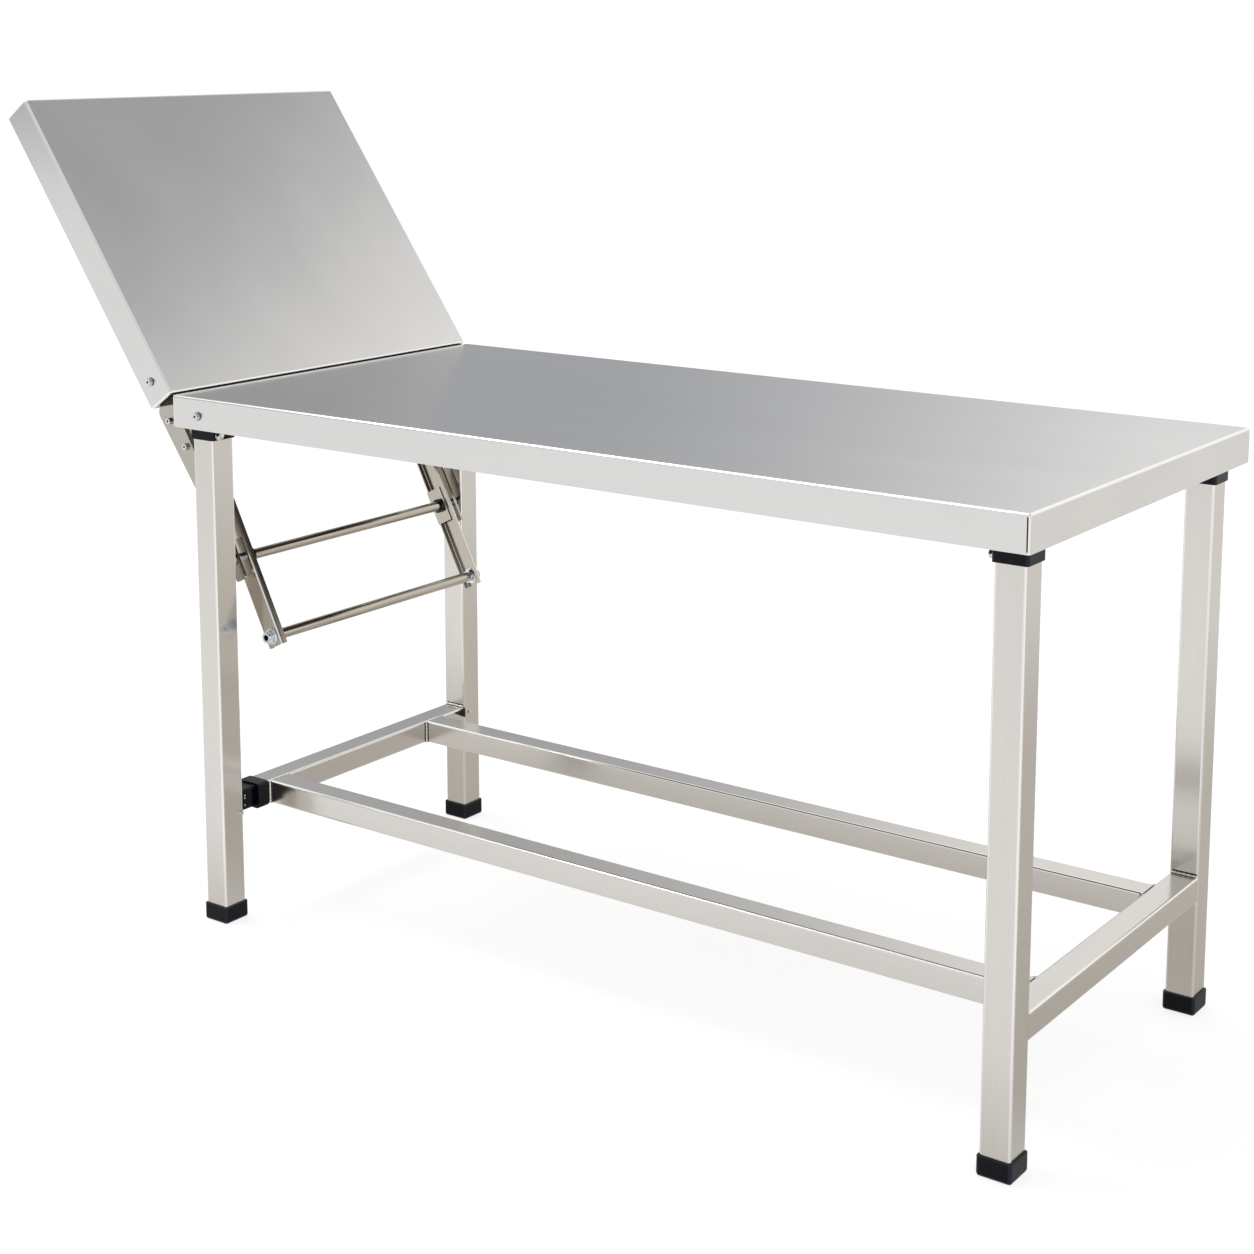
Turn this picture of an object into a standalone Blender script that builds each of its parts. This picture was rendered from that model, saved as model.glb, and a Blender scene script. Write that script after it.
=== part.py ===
"""Stainless steel examination table with a folding backrest, built from its separate pieces.

The table stands on Z = 0 with its length along X: the foot end at +X, the backrest at -X.
Pieces are laid out in metres from the hinge end of the main top (x = 0) and the mid plane
(y = 0). One empty then shifts everything, so that the origin lies under the middle of the
table. The backrest and all that turns with it are laid out as if folded flat, from the hinge
axis, and a second empty raises them to the angle that the table is stored at.
"""
import math

import bmesh
import bpy
from mathutils import Vector

# Overall sizes
TABLE_HEIGHT = 0.795
TABLE_WIDTH = 0.650
MAIN_LENGTH = 1.340
MAIN_DEPTH = 0.046
BACK_LENGTH = 0.505
BACK_DEPTH = 0.048
BACK_ANGLE = math.radians(54.5)
GAP = 0.0003
TOLERANCE = 0.00001

# Folded trays
SHEET = 0.0012
FOLD_RADIUS = 0.003
FOLD_SEGMENTS = 3
LIP_WIDTH = 0.012
MAIN_FLANGE_CORNER = 0.007
BACK_FLANGE_CORNER = 0.004
CUTTER_MARGIN = 0.0002
CUTTER_BLOCK = 0.002
CUTTER_REACH = 0.050

# Legs and their plastic ends
LEG_SIZE = 0.040
LEG_WALL = 0.0015
LEG_CORNER = 0.003
LEG_SIDE_INSET = 0.032
LEG_HEAD_INSET = 0.006
LEG_FOOT_INSET = 0.018
CAP_WALL = 0.0025
CAP_CORNER = 0.004
CAP_BASE = 0.006
FOOT_CAP_HEIGHT = 0.025
COLLAR_SHOWN = 0.021
COLLAR_BASE = 0.004

# Lower frame
RAIL_WIDTH = 0.038
RAIL_HEIGHT = 0.035
RAIL_WALL = 0.0015
RAIL_TOP = 0.195
STRETCHER_INSET = 0.128

# Black joint between the near head leg and the head crossbar
JOINT_STEM_WIDTH = 0.027
JOINT_STEM_HEIGHT = 0.033
JOINT_SLEEVE_WALL = 0.0015
JOINT_SLEEVE_START = 0.102
JOINT_SLEEVE_LENGTH = 0.021
JOINT_SLEEVE_BASE = 0.004

# Frame under the main top
SIDE_RAIL_SIZE = 0.038
CROSS_RAIL_SIZE = 0.030
CROSS_RAIL_INSET = 0.006
UNDER_WALL = 0.0015
UNDER_CORNER = 0.0025

# Frame under the backrest
BACK_RAIL_WIDTH = 0.030
BACK_RAIL_HEIGHT = 0.025
BACK_RAIL_END_GAP = 0.004
BACK_CROSS_INSET = 0.080

# Corner brackets in the hinge ends of both trays
CORNER_PLATE = 0.002
CORNER_LENGTH = 0.070
CORNER_RETURN = 0.024
CORNER_HEIGHT = 0.030
CORNER_TOP = 0.008
CORNER_BOLT_MAIN = 0.051
CORNER_BOLT_BACK = 0.034
CORNER_BOLT_DROP = 0.026

# Piano hinge
KNUCKLE_RADIUS = 0.0045
PIN_RADIUS = 0.0025
LEAF_THICKNESS = 0.0012
LEAF_HEIGHT = 0.034
KNUCKLE_COUNT = 9
HINGE_END_GAP = 0.008

# Support arms: gussets under the backrest and the cranked plates bolted to them
ARM_INSET = 0.080
ARM_THICKNESS = 0.004
ARM_REACH = 0.2226
ARM_DROP = 0.1136
ARM_TIP_WIDTH = 0.020
ARM_TIP_LENGTH = 0.033
ARM_TILT = math.radians(8.2)
ARM_KNEE = 0.070
ARM_TAIL = 0.024
ARM_TOP = 0.082
ARM_CORNER = 0.003
GUSSET_THICKNESS = 0.003
GUSSET_LENGTH = 0.105
GUSSET_BACK = 0.150
GUSSET_FRONT_EDGE = 0.034
GUSSET_CLEARANCE = 0.0045
GUSSET_DROP = 0.124
GUSSET_BOLTS = ((-0.008, -0.105), (0.040, -0.098))

# Stay bars that slide through the sleeves
STAY_WIDTH = 0.032
STAY_DEPTH = 0.010
STAY_WALL = 0.002
STAY_CORNER = 0.003
STAY_INSET = 0.098
STAY_END = 0.016
STAY_TOP_HOLE = 0.0115
STAY_BELOW_ROD = 0.1246
STAY_PIVOT_X = -0.065
STAY_PIVOT_DROP = 0.062
SLEEVE_LENGTH = 0.056
SLEEVE_WALL = 0.002
SLEEVE_INNER_CORNER = 0.0007
SLEEVE_LIP = 0.005
SLEEVE_END_CORNER = 0.005
SPACER_RADIUS = 0.006
UPPER_ROD_RADIUS = 0.0078
LOWER_ROD_RADIUS = 0.008
LOWER_ROD_BORE = 0.0045
LOWER_ROD_STUB = 0.012
ROD_NUT_FACTOR = 1.35
ROD_WASHER_FACTOR = 1.12
ROD_COLLAR_LENGTH = 0.005
ROD_COLLAR_STEP = 0.0035
EYE_COVER = 0.003

# Brackets that carry the stay bars' pivots
BRACKET_THICKNESS = 0.004
BRACKET_EDGE = 0.0115
BRACKET_WIDTH = 0.014
BRACKET_FOOT = 0.026

# Bolts, nuts and washers
SMALL_BOLT = 0.003
LARGE_BOLT = 0.004
HEX_FACTOR = 1.75
HEAD_HEIGHT = 0.0042
NUT_HEIGHT = 0.0062
WASHER_HEIGHT = 0.0013
WASHER_FACTOR = 1.25

# Places that follow from the sizes above
HALF_WIDTH = TABLE_WIDTH / 2
HINGE_X = -(KNUCKLE_RADIUS + GAP)
HINGE_Z = TABLE_HEIGHT - KNUCKLE_RADIUS - GAP
BACK_HINGE_END = -(KNUCKLE_RADIUS + GAP)
BACK_FREE_END = BACK_HINGE_END - BACK_LENGTH
BACK_TOP = TABLE_HEIGHT - HINGE_Z
SKIN_UNDERSIDE = TABLE_HEIGHT - SHEET - GAP
COLLAR_BOTTOM = TABLE_HEIGHT - MAIN_DEPTH - COLLAR_SHOWN
SIDE_RAIL_BOTTOM = SKIN_UNDERSIDE - SIDE_RAIL_SIZE
LEG_CENTRE_Y = HALF_WIDTH - LEG_SIDE_INSET - LEG_SIZE / 2
LEG_INNER_INSET = LEG_SIDE_INSET + LEG_SIZE
HEAD_LEG_X = LEG_HEAD_INSET + LEG_SIZE / 2
FOOT_LEG_X = MAIN_LENGTH - LEG_FOOT_INSET - LEG_SIZE / 2
HEAD_BAR_X = HEAD_LEG_X + LEG_SIZE / 2 - RAIL_WIDTH / 2
FOOT_BAR_X = FOOT_LEG_X + LEG_SIZE / 2 - RAIL_WIDTH / 2
RAIL_Z = RAIL_TOP - RAIL_HEIGHT / 2
GUSSET_INSET = ARM_INSET + ARM_THICKNESS + GAP
BACK_RAIL_INSET = GUSSET_INSET + GUSSET_THICKNESS + GAP
SLEEVE_INSET = STAY_INSET - GAP - SLEEVE_WALL
SLEEVE_INNER_INSET = STAY_INSET + STAY_DEPTH + GAP + SLEEVE_WALL
BRACKET_INSET = STAY_INSET + STAY_DEPTH + 0.001


def turned(x, z, angle):
    """A point of the XZ plane turned about +Y, which raises what lies at -X."""
    return (x * math.cos(angle) + z * math.sin(angle), -x * math.sin(angle) + z * math.cos(angle))


ROD_OFFSET = turned(ARM_REACH, -ARM_DROP, BACK_ANGLE)
ROD_X = HINGE_X + ROD_OFFSET[0]
ROD_Z = HINGE_Z + ROD_OFFSET[1]
STAY_PIVOT_Z = TABLE_HEIGHT - STAY_PIVOT_DROP
STAY_ABOVE_ROD = math.hypot(ROD_X - STAY_PIVOT_X, ROD_Z - STAY_PIVOT_Z)
STAY_ANGLE = math.atan2(ROD_X - STAY_PIVOT_X, STAY_PIVOT_Z - ROD_Z)
HEAD_END_X = HINGE_X + turned(BACK_FREE_END, BACK_TOP - BACK_DEPTH, BACK_ANGLE)[0]
MIDDLE_X = (HEAD_END_X + MAIN_LENGTH) / 2


# Scene and materials

def clear_scene():
    for obj in list(bpy.data.objects):
        bpy.data.objects.remove(obj, do_unlink=True)


def material(name, colour, roughness, metallic):
    made = bpy.data.materials.new(name)
    made.use_nodes = True
    shader = made.node_tree.nodes["Principled BSDF"]
    shader.inputs["Base Color"].default_value = (*colour, 1.0)
    shader.inputs["Roughness"].default_value = roughness
    shader.inputs["Metallic"].default_value = metallic
    return made


def empty(name, location, angle=0.0, parent=None):
    made = bpy.data.objects.new(name, None)
    made.location = location
    made.rotation_euler = (0.0, angle, 0.0)
    made.parent = parent
    bpy.context.collection.objects.link(made)
    return made


def add_object(name, bm, finish, parent, location=(0.0, 0.0, 0.0), rotation=(0.0, 0.0, 0.0), smooth=None):
    """Turns a bmesh into an object; smooth is the angle in degrees above which edges stay sharp."""
    bmesh.ops.recalc_face_normals(bm, faces=bm.faces)
    mesh = bpy.data.meshes.new(name)
    bm.to_mesh(mesh)
    bm.free()
    if smooth:
        mesh.shade_smooth()
        mesh.set_sharp_from_angle(angle=math.radians(smooth))
    mesh.materials.append(finish)
    made = bpy.data.objects.new(name, mesh)
    made.location = location
    made.rotation_euler = rotation
    made.parent = parent
    bpy.context.collection.objects.link(made)
    return made


def boolean(target, tool, operation):
    """Cuts target with tool, or fuses tool to it, and hides the tool."""
    step = target.modifiers.new(tool.name, "BOOLEAN")
    step.operation = operation
    step.solver = "EXACT"
    step.object = tool
    tool.hide_render = True
    tool.display_type = "WIRE"


# Outlines and solids

def side_y(side, inset):
    """The y of a place that lies inset from the long edge: side is -1 for near, 1 for far."""
    return side * (HALF_WIDTH - inset)


def outline(corners, segments=4):
    """Points of a closed outline whose corners (a, b, radius) are rounded with arcs."""
    points = []
    for index, (a, b, radius) in enumerate(corners):
        here = Vector((a, b))
        before = Vector(corners[index - 1][:2]) - here
        after = Vector(corners[(index + 1) % len(corners)][:2]) - here
        if radius == 0.0:
            points.append(here)
            continue
        half = before.angle(after) / 2
        centre = here + (before.normalized() + after.normalized()).normalized() * radius / math.sin(half)
        start = here + before.normalized() * radius / math.tan(half) - centre
        turn = start.angle_signed(here + after.normalized() * radius / math.tan(half) - centre)
        for step in range(segments + 1):
            angle = -turn * step / segments
            cosine, sine = math.cos(angle), math.sin(angle)
            spoke = Vector((start.x * cosine - start.y * sine, start.x * sine + start.y * cosine))
            points.append(centre + spoke)
    return points


def rectangle(width, height, radius):
    a, b = width / 2, height / 2
    return [(-a, -b, radius), (a, -b, radius), (a, b, radius), (-a, b, radius)]


def face_in_xy(bm, points, z=0.0):
    face = bm.faces.new([bm.verts.new((p.x, p.y, z)) for p in points])
    face.normal_update()
    return face


def extrude(bm, faces, offset):
    """Extrudes faces by offset and returns the faces at the new end."""
    grown = bmesh.ops.extrude_face_region(bm, geom=faces)["geom"]
    moved = [item for item in grown if isinstance(item, bmesh.types.BMVert)]
    bmesh.ops.translate(bm, vec=offset, verts=moved)
    return [item for item in grown if isinstance(item, bmesh.types.BMFace)]


def tube(width, height, corner, wall, length):
    """A square or rectangular tube along +Z from z = 0, open at both ends."""
    bm = bmesh.new()
    face = face_in_xy(bm, outline(rectangle(width, height, corner), 3))
    ring = bmesh.ops.inset_region(bm, faces=[face], thickness=wall, use_boundary=True,
                                  use_even_offset=True)["faces"]
    bmesh.ops.delete(bm, geom=[face], context="FACES_ONLY")
    extrude(bm, ring, (0.0, 0.0, length))
    return bm


def cup(width, height, corner, wall, depth, base, round_edge):
    """A plastic cap: a closed base at z = 0 and walls up to z = depth."""
    bm = bmesh.new()
    floor = face_in_xy(bm, outline(rectangle(width, height, corner), 3))
    rim = extrude(bm, [floor], (0.0, 0.0, depth))
    bm.normal_update()
    bmesh.ops.inset_region(bm, faces=rim, thickness=wall, use_even_offset=True)
    extrude(bm, rim, (0.0, 0.0, base - depth))
    bmesh.ops.delete(bm, geom=rim, context="FACES_ONLY")
    bottom = [edge for edge in bm.edges if all(abs(vert.co.z) < TOLERANCE for vert in edge.verts)]
    if round_edge:
        bmesh.ops.bevel(bm, geom=bottom, offset=round_edge, segments=2, profile=0.5, affect="EDGES",
                        clamp_overlap=True, material=-1)
    return bm


def prism_y(corners, side, outer, inner, segments=4):
    """A plate whose XZ outline is drawn by corners, between two insets from one long edge."""
    bm = bmesh.new()
    start, end = side_y(side, outer), side_y(side, inner)
    face = bm.faces.new([bm.verts.new((p.x, start, p.y)) for p in outline(corners, segments)])
    extrude(bm, [face], (0.0, end - start, 0.0))
    return bm


def ring_points(radius, count, hexagonal):
    """Points of a circle, or of a hexagon whose corners lie at radius."""
    points = []
    for index in range(count):
        angle = 2 * math.pi * index / count
        reach = radius
        if hexagonal:
            from_flat = (angle + math.pi / 6) % (math.pi / 3) - math.pi / 6
            reach = radius * math.cos(math.pi / 6) / math.cos(math.pi / 6 - abs(from_flat))
        points.append((reach * math.cos(angle), reach * math.sin(angle)))
    return points


def bar_y(stations, bore=0.0, count=12):
    """A bar along Y with stations (y, radius, hexagonal); bore is the radius of a hole through it."""
    bm = bmesh.new()
    if bore:
        stations = [*stations, (stations[-1][0], bore, False), (stations[0][0], bore, False)]
    rings = []
    for y, radius, hexagonal in stations:
        rings.append([bm.verts.new((a, y, b)) for a, b in ring_points(radius, count, hexagonal)])
    pairs = list(zip(rings, rings[1:]))
    if bore:
        pairs.append((rings[-1], rings[0]))
    else:
        bm.faces.new(rings[0])
        bm.faces.new(rings[-1])
    for first, second in pairs:
        for index in range(count):
            following = (index + 1) % count
            bm.faces.new((first[index], first[following], second[following], second[index]))
    return bm


def bolt(side, head_inset, nut_inset, radius, washer_head=False, washer_nut=False):
    """A bolt and nut along Y as one solid: both insets are where they bear on the work."""
    direction = -side
    hexagon = radius * HEX_FACTOR
    washer = hexagon * WASHER_FACTOR
    head_face = side_y(side, head_inset - GAP)
    nut_face = side_y(side, nut_inset + GAP)
    stations = [(head_face - direction * HEAD_HEIGHT, hexagon, True)]
    if washer_head:
        stations[0] = (head_face - direction * (HEAD_HEIGHT + WASHER_HEIGHT), hexagon, True)
        stations += [(head_face - direction * WASHER_HEIGHT, hexagon, True),
                     (head_face - direction * WASHER_HEIGHT, washer, False), (head_face, washer, False)]
    else:
        stations.append((head_face, hexagon, True))
    stations += [(head_face, radius, False), (nut_face, radius, False)]
    if washer_nut:
        stations += [(nut_face, washer, False), (nut_face + direction * WASHER_HEIGHT, washer, False)]
        nut_face += direction * WASHER_HEIGHT
    stations += [(nut_face, hexagon, True), (nut_face + direction * NUT_HEIGHT, hexagon, True),
                 (nut_face + direction * NUT_HEIGHT, radius, False),
                 (nut_face + direction * (NUT_HEIGHT + radius * 0.5), radius, False)]
    return bar_y(stations)


def hole_y(name, x, z, radius, side, parent, segments=16):
    """A round cutter along Y through whatever lies on one long side of the table."""
    bm = bmesh.new()
    bmesh.ops.create_cone(bm, cap_ends=True, segments=segments, radius1=radius, radius2=radius,
                          depth=CUTTER_REACH)
    return add_object(name, bm, None, parent, (x, side_y(side, STAY_INSET), z), (math.pi / 2, 0.0, 0.0))


# Trays

def tray(name, hinge_end, free_end, top, depth, finish, parent):
    """A sheet folded down on all four sides, with a lip turned in under three of them."""
    bm = bmesh.new()
    bmesh.ops.create_cube(bm, size=1.0)
    bmesh.ops.scale(bm, vec=(abs(free_end - hinge_end), TABLE_WIDTH, depth), verts=bm.verts)
    bmesh.ops.translate(bm, vec=((hinge_end + free_end) / 2, 0.0, top - depth / 2), verts=bm.verts)
    bottom = top - depth
    folds = [edge for edge in bm.edges if any(vert.co.z > bottom + FOLD_RADIUS for vert in edge.verts)]
    bmesh.ops.bevel(bm, geom=folds, offset=FOLD_RADIUS, segments=FOLD_SEGMENTS, profile=0.5, affect="EDGES",
                    clamp_overlap=True, material=-1)
    inward = 1.0 if hinge_end > free_end else -1.0
    lip_end = free_end + inward * LIP_WIDTH
    for place, normal in (((0.0, HALF_WIDTH - LIP_WIDTH, 0.0), (0.0, 1.0, 0.0)),
                          ((0.0, LIP_WIDTH - HALF_WIDTH, 0.0), (0.0, 1.0, 0.0)),
                          ((lip_end, 0.0, 0.0), (1.0, 0.0, 0.0))):
        geometry = set()
        for face in bm.faces:
            if face.normal.z < -0.99 and face.calc_center_median().z < bottom + TOLERANCE:
                geometry.update((face, *face.edges, *face.verts))
        bmesh.ops.bisect_plane(bm, geom=list(geometry), dist=1e-6, plane_co=place, plane_no=normal)
    opening = []
    for face in bm.faces:
        centre = face.calc_center_median()
        inside = abs(centre.y) < HALF_WIDTH - LIP_WIDTH and (centre.x - lip_end) * inward > 0.0
        if centre.z < bottom + TOLERANCE and inside and abs(face.normal.z) > 0.99:
            opening.append(face)
    bmesh.ops.delete(bm, geom=opening, context="FACES")
    made = add_object(name, bm, finish, parent, smooth=30)
    shell = made.modifiers.new("wall", "SOLIDIFY")
    shell.solidify_mode = "NON_MANIFOLD"
    shell.nonmanifold_thickness_mode = "CONSTRAINTS"
    shell.thickness = SHEET
    shell.offset = -1.0
    return made


def flange_corner(name, target, hinge_end, inward, bottom, radius, parent):
    """Rounds the lower corners of a tray's side flanges at its hinge end with one cutter across it."""
    edge_x, edge_z = hinge_end - inward * CUTTER_MARGIN, bottom - CUTTER_MARGIN
    back_x, back_z = hinge_end - inward * CUTTER_BLOCK, bottom - CUTTER_BLOCK
    end_x, end_z = edge_x + inward * radius * 1.5, edge_z + radius * 1.5
    corners = [(back_x, back_z, 0.0), (end_x, back_z, 0.0), (end_x, edge_z, 0.0), (edge_x, edge_z, radius),
               (edge_x, end_z, 0.0), (back_x, end_z, 0.0)]
    block = prism_y(corners, -1, -CUTTER_BLOCK, TABLE_WIDTH + CUTTER_BLOCK, 5)
    boolean(target, add_object(name, block, None, parent), "DIFFERENCE")


# Frame under the tops

def leg_places():
    for end, x in (("head", HEAD_LEG_X), ("foot", FOOT_LEG_X)):
        for name, side in (("near", -1), ("far", 1)):
            yield f"{name}_{end}", x, side * LEG_CENTRE_Y


def legs(steel, plastic, parent):
    """Square tube legs, each with a foot cap below and a collar over its top."""
    cap_size = LEG_SIZE + 2 * (CAP_WALL + GAP)
    leg_bottom = CAP_BASE + GAP
    leg_top = SIDE_RAIL_BOTTOM - COLLAR_BASE - 2 * GAP
    for place, x, y in leg_places():
        body = tube(LEG_SIZE, LEG_SIZE, LEG_CORNER, LEG_WALL, leg_top - leg_bottom)
        add_object(f"leg_{place}", body, steel, parent, (x, y, leg_bottom), smooth=40)
        foot = cup(cap_size, cap_size, CAP_CORNER, CAP_WALL, FOOT_CAP_HEIGHT, CAP_BASE, CAP_CORNER)
        add_object(f"foot_cap_{place}", foot, plastic, parent, (x, y, 0.0), smooth=40)
        height = SIDE_RAIL_BOTTOM - GAP - COLLAR_BOTTOM
        collar = cup(cap_size, cap_size, CAP_CORNER, CAP_WALL, height, COLLAR_BASE, 0.0)
        add_object(f"leg_collar_{place}", collar, plastic, parent, (x, y, COLLAR_BOTTOM + height),
                   (math.pi, 0.0, 0.0), smooth=40)


def rail_x(name, width, height, start, end, y, z, corner, wall, finish, parent):
    """A tube along X; y and z are its centre."""
    body = tube(height, width, corner, wall, end - start)
    return add_object(name, body, finish, parent, (start, y, z), (0.0, math.pi / 2, 0.0), smooth=40)


def rail_y(name, width, height, start, end, x, z, corner, wall, finish, parent):
    """A tube along Y; x and z are its centre."""
    body = tube(width, height, corner, wall, end - start)
    return add_object(name, body, finish, parent, (x, end, z), (math.pi / 2, 0.0, 0.0), smooth=40)


def top_frame(steel, parent):
    """Rails under the main top: one over each pair of legs, and three across."""
    rail_z = SKIN_UNDERSIDE - SIDE_RAIL_SIZE / 2
    start = FOLD_RADIUS + GAP
    for name, side in (("near", -1), ("far", 1)):
        rail_x(f"top_side_rail_{name}", SIDE_RAIL_SIZE, SIDE_RAIL_SIZE, start, MAIN_LENGTH - start,
               side * LEG_CENTRE_Y, rail_z, UNDER_CORNER, UNDER_WALL, steel, parent)
    reach = LEG_CENTRE_Y - SIDE_RAIL_SIZE / 2 - GAP
    cross_z = SKIN_UNDERSIDE - CROSS_RAIL_SIZE / 2
    edge = CROSS_RAIL_INSET + CROSS_RAIL_SIZE / 2
    for name, x in (("head", edge), ("middle", MAIN_LENGTH / 2), ("foot", MAIN_LENGTH - edge)):
        rail_y(f"top_cross_rail_{name}", CROSS_RAIL_SIZE, CROSS_RAIL_SIZE, -reach, reach, x, cross_z,
               UNDER_CORNER, UNDER_WALL, steel, parent)


def lower_frame(steel, plastic, parent):
    """Crossbars between the legs at both ends, two stretchers, and the black joint."""
    far_end = HALF_WIDTH - LEG_INNER_INSET - GAP
    sleeve_floor = JOINT_SLEEVE_START + JOINT_SLEEVE_BASE
    near_end = side_y(-1, sleeve_floor + GAP)
    rail_y("crossbar_head", RAIL_WIDTH, RAIL_HEIGHT, near_end, far_end, HEAD_BAR_X, RAIL_Z,
           LEG_CORNER, RAIL_WALL, steel, parent)
    rail_y("crossbar_foot", RAIL_WIDTH, RAIL_HEIGHT, -far_end, far_end, FOOT_BAR_X, RAIL_Z,
           LEG_CORNER, RAIL_WALL, steel, parent)
    start = HEAD_BAR_X + RAIL_WIDTH / 2 + GAP
    end = FOOT_BAR_X - RAIL_WIDTH / 2 - GAP
    for name, side in (("near", -1), ("far", 1)):
        rail_x(f"stretcher_{name}", RAIL_WIDTH, RAIL_HEIGHT, start, end,
               side_y(side, STRETCHER_INSET + RAIL_WIDTH / 2), RAIL_Z, LEG_CORNER, RAIL_WALL, steel, parent)
    wall = JOINT_SLEEVE_WALL
    socket = cup(RAIL_WIDTH + 2 * (wall + GAP), RAIL_HEIGHT + 2 * (wall + GAP), CAP_CORNER, wall,
                 JOINT_SLEEVE_LENGTH, JOINT_SLEEVE_BASE, 0.0)
    place = (HEAD_BAR_X, side_y(-1, JOINT_SLEEVE_START), RAIL_Z)
    made = add_object("crossbar_joint", socket, plastic, parent, place, (-math.pi / 2, 0.0, 0.0), smooth=40)
    stem = bmesh.new()
    end_face = face_in_xy(stem, outline(rectangle(JOINT_STEM_WIDTH, JOINT_STEM_HEIGHT, LEG_CORNER), 3))
    overlap = JOINT_SLEEVE_BASE / 2
    extrude(stem, [end_face], (0.0, 0.0, JOINT_SLEEVE_START + overlap - LEG_INNER_INSET - GAP))
    tool = add_object("joint_stem", stem, None, parent,
                      (HEAD_BAR_X, side_y(-1, LEG_INNER_INSET + GAP), RAIL_Z), (-math.pi / 2, 0.0, 0.0))
    boolean(made, tool, "UNION")


def back_frame(steel, parent):
    """Rails inside the backrest: two along it and one across."""
    z = BACK_TOP - SHEET - GAP - BACK_RAIL_HEIGHT / 2
    start = BACK_FREE_END + SHEET + BACK_RAIL_END_GAP
    end = BACK_HINGE_END - FOLD_RADIUS - GAP
    for name, side in (("near", -1), ("far", 1)):
        y = side_y(side, BACK_RAIL_INSET + BACK_RAIL_WIDTH / 2)
        rail_x(f"backrest_rail_{name}", BACK_RAIL_WIDTH, BACK_RAIL_HEIGHT, start, end, y, z,
               UNDER_CORNER, UNDER_WALL, steel, parent)
    reach = HALF_WIDTH - BACK_RAIL_INSET - BACK_RAIL_WIDTH - GAP
    rail_y("backrest_cross_rail", BACK_RAIL_WIDTH, BACK_RAIL_HEIGHT, -reach, reach,
           BACK_FREE_END + BACK_CROSS_INSET, z, UNDER_CORNER, UNDER_WALL, steel, parent)


def corner_bracket(name, side, hinge_end, inward, top, bolt_x, finish, parent):
    """An angle that ties a tray's side to its hinge end; inward is the way into the tray along X."""
    inset = SHEET + GAP
    near_x = hinge_end + inward * inset
    far_x = hinge_end + inward * CORNER_LENGTH
    upper, lower = top - CORNER_TOP, top - CORNER_TOP - CORNER_HEIGHT
    bm = bmesh.new()
    wall, end = inset + CORNER_PLATE, inset + CORNER_RETURN
    wall_x = near_x + inward * CORNER_PLATE
    plan = [(near_x + inward * FOLD_RADIUS, inset), (far_x, inset), (far_x, wall), (wall_x, wall),
            (wall_x, end), (near_x, end), (near_x, inset + FOLD_RADIUS)]
    face = bm.faces.new([bm.verts.new((x, side_y(side, inset_y), lower)) for x, inset_y in plan])
    extrude(bm, [face], (0.0, 0.0, upper - lower))
    made = add_object(name, bm, finish, parent)
    cut = bmesh.new()
    radius = SMALL_BOLT + GAP
    bmesh.ops.create_cone(cut, cap_ends=True, segments=12, radius1=radius, radius2=radius, depth=0.02)
    tool = add_object(f"{name}_hole", cut, None, parent, (bolt_x, side_y(side, 0.0), top - CORNER_BOLT_DROP),
                      (math.pi / 2, 0.0, 0.0))
    boolean(made, tool, "DIFFERENCE")
    return tool


# Piano hinge

def hinge_leaf(name, inward, first, finish, parent):
    """One leaf with every second knuckle; inward is the way towards its tray along X."""
    length = TABLE_WIDTH - 2 * HINGE_END_GAP
    pitch = length / KNUCKLE_COUNT
    outer = KNUCKLE_RADIUS
    inner = KNUCKLE_RADIUS - LEAF_THICKNESS
    strip_top = -(KNUCKLE_RADIUS + GAP)
    strip = bmesh.new()
    corners = [(inward * inner, -LEAF_HEIGHT), (inward * outer, -LEAF_HEIGHT), (inward * outer, strip_top),
               (inward * inner, strip_top)]
    face = strip.faces.new([strip.verts.new((x, -length / 2, z)) for x, z in corners])
    extrude(strip, [face], (0.0, length, 0.0))
    leaf = add_object(name, strip, finish, parent, smooth=40)
    curls = bmesh.new()
    meet = math.acos(inner / outer)
    steps = 14
    for index in range(first, KNUCKLE_COUNT, 2):
        start = -length / 2 + index * pitch + GAP / 2
        end = -length / 2 + (index + 1) * pitch - GAP / 2
        points = [(inward * outer * math.cos(turn), outer * math.sin(turn))
                  for turn in ((2 * math.pi - meet) * step / steps for step in range(steps + 1))]
        points += [(inward * inner, strip_top * 1.5), (inward * outer, strip_top * 1.5)]
        face = curls.faces.new([curls.verts.new((x, start, z)) for x, z in points])
        extrude(curls, [face], (0.0, end - start, 0.0))
    tool = add_object(f"{name}_curls", curls, None, parent)
    boolean(leaf, tool, "UNION")
    bore = bmesh.new()
    radius = PIN_RADIUS + GAP
    bmesh.ops.create_cone(bore, cap_ends=True, segments=12, radius1=radius, radius2=radius, depth=TABLE_WIDTH)
    cutter = add_object(f"{name}_bore", bore, None, parent, rotation=(math.pi / 2, 0.0, 0.0))
    boolean(leaf, cutter, "DIFFERENCE")


def hinge(steel, bright, table, back):
    """Two leaves on the ends of the trays and the pin that joins them."""
    main_side = empty("hinge_axis", (HINGE_X, 0.0, HINGE_Z), parent=table)
    hinge_leaf("hinge_leaf_main", 1, 0, steel, main_side)
    hinge_leaf("hinge_leaf_back", -1, 1, steel, back)
    half = HALF_WIDTH - HINGE_END_GAP
    pin = bar_y([(-half, PIN_RADIUS, False), (half, PIN_RADIUS, False)])
    add_object("hinge_pin", pin, bright, main_side, smooth=40)


# Backrest support

def arm_place(along, across):
    """A place on the tilted lower part of an arm, measured from its pivot, in the backrest's flat layout."""
    sine, cosine = math.sin(ARM_TILT), math.cos(ARM_TILT)
    return (ARM_REACH + cosine * along + sine * across, -ARM_DROP - sine * along + cosine * across)


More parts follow.
